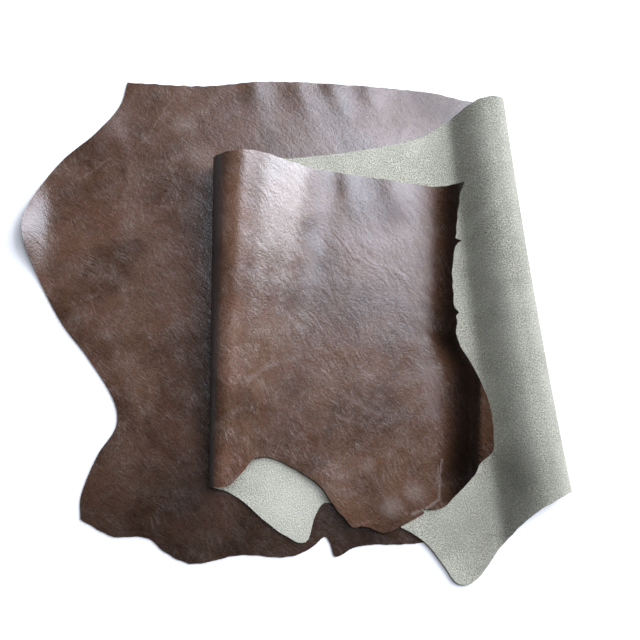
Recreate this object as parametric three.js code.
// One side of upholstery leather, folded back and forth over itself and laid on a surface.
//
// The side is a single skin. Its cut outline is described laid out flat, then every point of it
// is carried through two folds. The first fold turns the skin over at the right, so that its
// suede side faces up. The second turns it back at the left in a fat roll, so that its grain
// side faces up again. Each fold is a cone: its roll is higher at one end than at the other,
// as it is when thick leather is folded at a slant.
//
// Millimetres, +Z up. X runs along the folded pile and Y across it, from the belly to the back.
// The origin is the middle of the pile's box, on the surface that it lies on.

import * as THREE from 'three';

// ---------------------------------------------------------------- driving sizes

const THICKNESS = 2;

// The grid that the skin is made on. Ribs run across the hide, and are counted in percent of its
// length from the butt end.
const LAST_RIB = 100;
const ACROSS_CELLS = 19;
const FLAT_RIB_STEP = 1.25;
const ROLL_RIB_STEP = 0.75;

// Ribs between which the two rolls lie.
const FIRST_ROLL = { from: 43, to: 53 };
const SECOND_ROLL = { from: 75, to: 88 };

// How far the two ends of the hide shape the ribs beside them, in ribs.
const BUTT_REACH = 30;
const NECK_REACH = 13;

// The section of a roll: it turns somewhat past a half turn and then eases down again.
// EARLY_TURN below 1 puts the tightest bend near the floor, as the weight of leather does. The
// share of the roll that the turn takes lies between TURN_END_LIMITS, and is found by halving.
const EARLY_TURN = 0.5;
const SECTION_STEPS = 400;
const TURN_END_LIMITS = [0.3, 0.95];
const HALVINGS = 40;

// The two folds. The apex is the point where the roll would shrink to nothing, liftOff is the
// direction from there in which the skin leaves the layer below and opening is the angle of skin
// that the roll takes, both in degrees. overturn is how far past a half turn it turns, also in
// degrees, and ease is the share of what is left over which it comes down again: a small one
// leaves a straight slope before it. rise is how much higher the next layer lies. bow bends
// the fold sideways, most of all midway between its near and far ends, which are counted from
// the apex.
const FOLDS = [
  {
    name: 'right fold',
    apexAlong: -27,
    apexAcross: 3768,
    liftOff: -82.13,
    opening: 3.27,
    overturn: 38,
    ease: 0.3,
    rise: 4,
    bow: -6,
    near: 3304,
    far: 4130,
  },
  {
    name: 'left roll',
    apexAlong: -175,
    apexAcross: -880,
    liftOff: 88.47,
    opening: 17.4,
    overturn: 34,
    ease: 1,
    rise: 5,
    bow: 0,
    near: 565,
    far: 1245,
  },
];

// ---------------------------------------------------------------- the cut outline, laid flat
// along runs from butt to neck and across from belly to back. rib says which rib ends there.

const BACK_EDGE = [
  { rib: 0, along: -364, across: 544 },
  { rib: 9, along: -200, across: 536 },
  { rib: 16, along: -65, across: 546 },
  { rib: 26, along: 115, across: 538 },
  { rib: 35.5, along: 290, across: 521 },
  { rib: 40, along: 372, across: 502 },
  { rib: 43.5, along: 435, across: 494 },
  { rib: 47.5, along: 519, across: 510 },
  { rib: 52, along: 610, across: 496 },
  { rib: 55, along: 665, across: 480 },
  { rib: 62, along: 810, across: 492 },
  { rib: 69, along: 955, across: 519 },
  { rib: 77.5, along: 1141, across: 565 },
  { rib: 80, along: 1216, across: 593 },
  { rib: 84, along: 1334, across: 605 },
  { rib: 91, along: 1510, across: 623 },
  { rib: 97, along: 1632, across: 636 },
  { rib: 100, along: 1680, across: 649 },
];

const BELLY_EDGE = [
  // hind shank and flank
  { rib: 0, along: -438, across: -382 },
  { rib: 3, along: -372, across: -416 },
  { rib: 6, along: -301, across: -419 },
  { rib: 8, along: -262, across: -449 },
  { rib: 10.5, along: -205, across: -471 },
  { rib: 14, along: -113, across: -454 },
  { rib: 18.3, along: -10, across: -457 },
  { rib: 20.5, along: 38, across: -437 },
  { rib: 21.7, along: 62, across: -417 },
  { rib: 22.5, along: 73, across: -429 },
  { rib: 23.6, along: 84, across: -457 },
  { rib: 25.8, along: 130, across: -436 },
  { rib: 30.5, along: 250, across: -430 },
  { rib: 36, along: 385, across: -408 },
  { rib: 41, along: 495, across: -352 },
  { rib: 45, along: 602, across: -318 },
  // the lobe beside the first fold
  { rib: 48.5, along: 693, across: -338 },
  { rib: 51.5, along: 778, across: -382 },
  { rib: 54, along: 837, across: -425 },
  { rib: 55.2, along: 868, across: -435 },
  { rib: 56, along: 889, across: -422 },
  { rib: 57.2, along: 901, across: -385 },
  { rib: 59.2, along: 927, across: -325 },
  { rib: 62, along: 993, across: -259 },
  { rib: 65.5, along: 1091, across: -195 },
  // the small lobe before the roll
  { rib: 67, along: 1123, across: -214 },
  { rib: 68.3, along: 1152, across: -255 },
  { rib: 69.2, along: 1173, across: -252 },
  { rib: 71.5, along: 1218, across: -201 },
  { rib: 74, along: 1264, across: -129 },
  { rib: 76.5, along: 1312, across: -93 },
  { rib: 79.5, along: 1365, across: -73 },
  { rib: 81.5, along: 1384, across: -45 },
  { rib: 84, along: 1408, across: -6 },
  // fore shank
  { rib: 87, along: 1452, across: 0 },
  { rib: 91, along: 1517, across: -13 },
  { rib: 94, along: 1562, across: -31 },
  { rib: 97, along: 1603, across: -65 },
  { rib: 100, along: 1640, across: -90 },
];

// The two ends. part runs from 0 at the belly to 1 at the back.
const BUTT_EDGE = [
  { part: 0, along: -438, across: -382 },
  { part: 0.05, along: -438, across: -335 },
  { part: 0.14, along: -406, across: -252 },
  { part: 0.21, along: -369, across: -192 },
  { part: 0.26, along: -376, across: -140 },
  { part: 0.35, along: -430, across: -55 },
  { part: 0.45, along: -495, across: 30 },
  { part: 0.57, along: -553, across: 145 },
  { part: 0.66, along: -575, across: 228 },
  { part: 0.73, along: -555, across: 292 },
  { part: 0.8, along: -500, across: 370 },
  { part: 0.88, along: -424, across: 436 },
  { part: 0.95, along: -378, across: 494 },
  { part: 1, along: -364, across: 544 },
];

const NECK_EDGE = [
  { part: 0, along: 1640, across: -90 },
  { part: 0.04, along: 1673, across: -82 },
  { part: 0.08, along: 1706, across: -85 },
  { part: 0.12, along: 1740, across: -60 },
  { part: 0.16, along: 1778, across: -25 },
  { part: 0.2, along: 1814, across: 3 },
  { part: 0.27, along: 1848, across: 74 },
  { part: 0.3, along: 1853, across: 103 },
  { part: 0.33, along: 1869, across: 128 },
  { part: 0.37, along: 1862, across: 156 },
  { part: 0.42, along: 1841, across: 210 },
  { part: 0.49, along: 1792, across: 277 },
  { part: 0.55, along: 1745, across: 326 },
  { part: 0.6, along: 1730, across: 366 },
  { part: 0.71, along: 1702, across: 454 },
  { part: 0.82, along: 1689, across: 534 },
  { part: 0.94, along: 1677, across: 621 },
  { part: 1, along: 1680, across: 649 },
];

// ---------------------------------------------------------------- soft relief
// Ridges stand up from the layer that they are on. heading is the way that the ridge runs, in
// degrees from +along, reach is its half length and width its half width.
const RIDGES = [
  { name: 'rump rim', along: -592, across: 205, heading: 82, reach: 120, width: 46, height: 22 },
  { name: 'butt ripple', along: -405, across: 435, heading: 135, reach: 45, width: 18, height: 4 },
  { name: 'back ripple 1', along: -90, across: 535, heading: -70, reach: 60, width: 22, height: 4 },
  { name: 'back ripple 2', along: 4, across: 540, heading: -68, reach: 65, width: 21, height: 4 },
  { name: 'back ripple 3', along: 81, across: 535, heading: -66, reach: 60, width: 19, height: 4 },
  { name: 'back ripple 4', along: 158, across: 530, heading: -64, reach: 55, width: 19, height: 4 },
  { name: 'top ripple 1', along: 1442, across: 605, heading: -70, reach: 55, width: 19, height: 5 },
  { name: 'top ripple 2', along: 1540, across: 612, heading: -68, reach: 60, width: 21, height: 5 },
  { name: 'fore shank lift', along: 1603, across: -63, heading: -38, reach: 100, width: 42, height: 9 },
];

// The neck end turns up to a crest, ever more steeply, and goes on rising gently beyond it. The
// crest is a line of four points, which meets the cut edge near the back.
const LIP_CREST = [
  { along: 1851, across: 72 },
  { along: 1798, across: 277 },
  { along: 1752, across: 335 },
  { along: 1679, across: 660 },
];
const LIP = { height: 45, width: 100, shelfSlope: 0.4 };

// ---------------------------------------------------------------- small helpers

const clamp = THREE.MathUtils.clamp;

function smoothStep(x) {
  const u = clamp(x, 0, 1);
  return u * u * (3 - 2 * u);
}

/** Slope of a table's column at one of its rows, from the rows on both sides. */
function slopeAt(rows, key, column, index) {
  const before = rows[Math.max(index - 1, 0)];
  const after = rows[Math.min(index + 1, rows.length - 1)];
  return (after[column] - before[column]) / (after[key] - before[key]);
}

/** A smooth curve through a table's rows: a cubic between each two rows with shared slopes. */
function curveThrough(rows, key, column, at) {
  let index = 0;
  while (index < rows.length - 2 && rows[index + 1][key] < at) index += 1;
  const low = rows[index];
  const high = rows[index + 1];
  const span = high[key] - low[key];
  const u = (at - low[key]) / span;
  const startSlope = slopeAt(rows, key, column, index) * span;
  const endSlope = slopeAt(rows, key, column, index + 1) * span;
  const bend = u * u * (3 - 2 * u);
  return low[column] * (1 - bend) + high[column] * bend
    + startSlope * u * (1 - u) * (1 - u) - endSlope * u * u * (1 - u);
}

function edgePoint(rows, key, at) {
  return new THREE.Vector2(
    curveThrough(rows, key, 'along', at),
    curveThrough(rows, key, 'across', at),
  );
}

// ---------------------------------------------------------------- the flat skin

/** The point of the flat hide on one rib, at one part of the way from belly to back. */
function flatPoint(rib, part) {
  const straight = (at) => {
    const belly = edgePoint(BELLY_EDGE, 'rib', at);
    return belly.lerp(edgePoint(BACK_EDGE, 'rib', at), part);
  };
  const point = straight(rib);
  const buttShare = 1 - smoothStep(rib / BUTT_REACH);
  const neckShare = 1 - smoothStep((LAST_RIB - rib) / NECK_REACH);
  point.addScaledVector(edgePoint(BUTT_EDGE, 'part', part).sub(straight(0)), buttShare);
  point.addScaledVector(edgePoint(NECK_EDGE, 'part', part).sub(straight(LAST_RIB)), neckShare);
  return point;
}

// ---------------------------------------------------------------- the section of a roll

/** Heading of the skin along a roll of unit length, for a given end of its turn. */
function rollHeading(along, turnEnd, fold) {
  const overturn = THREE.MathUtils.degToRad(fold.overturn);
  const easeLength = fold.ease * (1 - turnEnd);
  const turned = (Math.PI + overturn) * smoothStep(clamp(along / turnEnd, 0, 1) ** EARLY_TURN);
  const eased = overturn * smoothStep((along - 1 + easeLength) / easeLength);
  return turned - eased;
}

/** Walks along the roll and lists how far forward and how high each step gets. */
function walkRoll(turnEnd, fold) {
  const path = [{ forward: 0, height: 0 }];
  for (let step = 0; step < SECTION_STEPS; step += 1) {
    const heading = rollHeading((step + 0.5) / SECTION_STEPS, turnEnd, fold);
    const last = path[step];
    path.push({
      forward: last.forward + Math.cos(heading) / SECTION_STEPS,
      height: last.height + Math.sin(heading) / SECTION_STEPS,
    });
  }
  return path;
}

/** The roll that comes back down to the height it left from, found by halving. */
function closedRoll(fold) {
  let [low, high] = TURN_END_LIMITS;
  for (let round = 0; round < HALVINGS; round += 1) {
    const middle = (low + high) / 2;
    if (walkRoll(middle, fold)[SECTION_STEPS].height < 0) low = middle;
    else high = middle;
  }
  return walkRoll((low + high) / 2, fold);
}

const ROLLS = FOLDS.map(closedRoll);

function rollPoint(roll, share) {
  const place = clamp(share, 0, 1) * SECTION_STEPS;
  const index = Math.min(Math.floor(place), SECTION_STEPS - 1);
  const u = place - index;
  return {
    forward: THREE.MathUtils.lerp(roll[index].forward, roll[index + 1].forward, u),
    height: THREE.MathUtils.lerp(roll[index].height, roll[index + 1].height, u),
  };
}

// ---------------------------------------------------------------- folding

/** Carries one point over a fold. past says whether it lies beyond the roll. */
function foldOver(point, fold, roll) {
  const away = new THREE.Vector2(point.x - fold.apexAlong, point.y - fold.apexAcross);
  const radius = away.length();
  const opening = THREE.MathUtils.degToRad(fold.opening);
  const liftOff = THREE.MathUtils.degToRad(fold.liftOff);
  const middle = (fold.near + fold.far) / 2;
  const fromMiddle = clamp((radius - middle) / (fold.far - middle), -1, 1);
  const bow = fold.bow * (1 - fromMiddle * fromMiddle) / radius;
  const fromLiftOff = away.angle() - liftOff;
  const turn = Math.atan2(Math.sin(fromLiftOff), Math.cos(fromLiftOff)) - bow;
  if (turn <= 0) return { ...point, past: false };
  const share = Math.min(turn / opening, 1);
  const section = rollPoint(roll, share);
  const beyond = Math.max(turn - opening, 0);
  const height = radius * opening * section.height;
  const reach = Math.sqrt(radius * radius - height * height);
  const direction = liftOff + bow + opening * section.forward - beyond;
  return {
    x: fold.apexAlong + reach * Math.cos(direction),
    y: fold.apexAcross + reach * Math.sin(direction),
    z: point.z + height + fold.rise * smoothStep(share),
    past: beyond > 0,
  };
}

// ---------------------------------------------------------------- relief

function ridgeHeight(ridge, flat) {
  const heading = THREE.MathUtils.degToRad(ridge.heading);
  const x = flat.x - ridge.along;
  const y = flat.y - ridge.across;
  const alongRidge = (x * Math.cos(heading) + y * Math.sin(heading)) / ridge.reach;
  const offRidge = (y * Math.cos(heading) - x * Math.sin(heading)) / ridge.width;
  return ridge.height * Math.exp(-alongRidge * alongRidge - offRidge * offRidge);
}

/** Height of the turned-up neck end: it climbs to its crest, and a shelf lies beyond it. */
function lipHeight(flat) {
  let row = 1;
  while (row < LIP_CREST.length - 1 && LIP_CREST[row].across < flat.y) row += 1;
  const from = LIP_CREST[row - 1];
  const to = LIP_CREST[row];
  const u = (flat.y - from.across) / (to.across - from.across);
  const beyond = flat.x - THREE.MathUtils.lerp(from.along, to.along, u);
  const climb = clamp(1 + beyond / LIP.width, 0, 1);
  return LIP.height * climb ** 3 + LIP.shelfSlope * Math.max(beyond, 0);
}

function relief(flat) {
  const ridges = RIDGES.reduce((sum, ridge) => sum + ridgeHeight(ridge, flat), 0);
  return ridges + lipHeight(flat);
}

// ---------------------------------------------------------------- the folded skin

function foldedPoint(rib, part) {
  const flat = flatPoint(rib, part);
  let place = { x: flat.x, y: flat.y, z: THICKNESS / 2, past: true };
  FOLDS.forEach((fold, index) => {
    if (place.past) place = foldOver(place, fold, ROLLS[index]);
  });
  return new THREE.Vector3(place.x, place.y, place.z + relief(flat));
}

/** Rib positions for the grid: every station of the belly edge, with even steps between. */
function ribStations() {
  const rolls = [FIRST_ROLL, SECOND_ROLL];
  const inRoll = (rib) => rolls.some((roll) => rib >= roll.from && rib < roll.to);
  const rollEnds = rolls.flatMap((roll) => [roll.from, roll.to]);
  const marks = [...new Set([...BELLY_EDGE.map((row) => row.rib), ...rollEnds])];
  marks.sort((a, b) => a - b);
  const stations = [marks[0]];
  for (let index = 1; index < marks.length; index += 1) {
    const from = marks[index - 1];
    const to = marks[index];
    const cells = Math.ceil((to - from) / (inRoll(from) ? ROLL_RIB_STEP : FLAT_RIB_STEP));
    for (let cell = 1; cell <= cells; cell += 1) stations.push(from + (to - from) * cell / cells);
  }
  return stations;
}

function middleSurface() {
  const parts = Array.from({ length: ACROSS_CELLS + 1 }, (_, index) => index / ACROSS_CELLS);
  return ribStations().map((rib) => parts.map((part) => foldedPoint(rib, part)));
}

/** Direction square to the skin at one grid point, from its neighbours on the grid. */
function skinNormal(grid, column, row) {
  const left = grid[Math.max(column - 1, 0)][row];
  const right = grid[Math.min(column + 1, grid.length - 1)][row];
  const below = grid[column][Math.max(row - 1, 0)];
  const above = grid[column][Math.min(row + 1, grid[column].length - 1)];
  const alongSkin = right.clone().sub(left);
  const acrossSkin = above.clone().sub(below);
  return alongSkin.cross(acrossSkin).normalize();
}

/** Gives the middle surface its thickness and closes it round the cut edge. */
function skinGeometry() {
  const grid = middleSurface();
  const columns = grid.length;
  const rows = grid[0].length;
  const positions = [];
  const indices = [];
  for (const side of [1, -1]) {
    for (let column = 0; column < columns; column += 1) {
      for (let row = 0; row < rows; row += 1) {
        const normal = skinNormal(grid, column, row);
        const point = grid[column][row].clone().addScaledVector(normal, side * THICKNESS / 2);
        positions.push(point.x, point.y, Math.max(point.z, 0));
      }
    }
  }
  const grain = (column, row) => column * rows + row;
  const flesh = (column, row) => columns * rows + grain(column, row);
  for (let column = 0; column < columns - 1; column += 1) {
    for (let row = 0; row < rows - 1; row += 1) {
      const corners = [[column, row], [column + 1, row], [column + 1, row + 1], [column, row + 1]];
      const [a, b, c, d] = corners.map(([i, j]) => grain(i, j));
      const [e, f, g, h] = corners.map(([i, j]) => flesh(i, j));
      indices.push(a, b, c, a, c, d, e, g, f, e, h, g);
    }
  }
  const rim = [];
  for (let column = 0; column < columns - 1; column += 1) rim.push([column, 0]);
  for (let row = 0; row < rows - 1; row += 1) rim.push([columns - 1, row]);
  for (let column = columns - 1; column > 0; column -= 1) rim.push([column, rows - 1]);
  for (let row = rows - 1; row > 0; row -= 1) rim.push([0, row]);
  rim.forEach(([column, row], index) => {
    const [nextColumn, nextRow] = rim[(index + 1) % rim.length];
    const a = grain(column, row);
    const b = grain(nextColumn, nextRow);
    const c = flesh(nextColumn, nextRow);
    const d = flesh(column, row);
    indices.push(a, d, c, a, c, b);
  });
  const geometry = new THREE.BufferGeometry();
  geometry.setAttribute('position', new THREE.Float32BufferAttribute(positions, 3));
  geometry.setIndex(indices);
  return geometry;
}

/** Puts the origin in the middle of the box, on the surface that the leather lies on. */
function standOnOrigin(geometry) {
  geometry.computeBoundingBox();
  const box = geometry.boundingBox;
  const middle = box.getCenter(new THREE.Vector3());
  geometry.translate(-middle.x, -middle.y, -box.min.z);
  geometry.computeVertexNormals();
  return geometry;
}

// ---------------------------------------------------------------- the leather side

const brownLeather = new THREE.MeshStandardMaterial({
  name: 'brown leather',
  color: 0x5d473e,
  roughness: 0.5,
  metalness: 0,
});

const leatherSide = new THREE.Mesh(standOnOrigin(skinGeometry()), brownLeather);
leatherSide.name = 'leather_side';

const group = new THREE.Group();
group.add(leatherSide);

export default group;
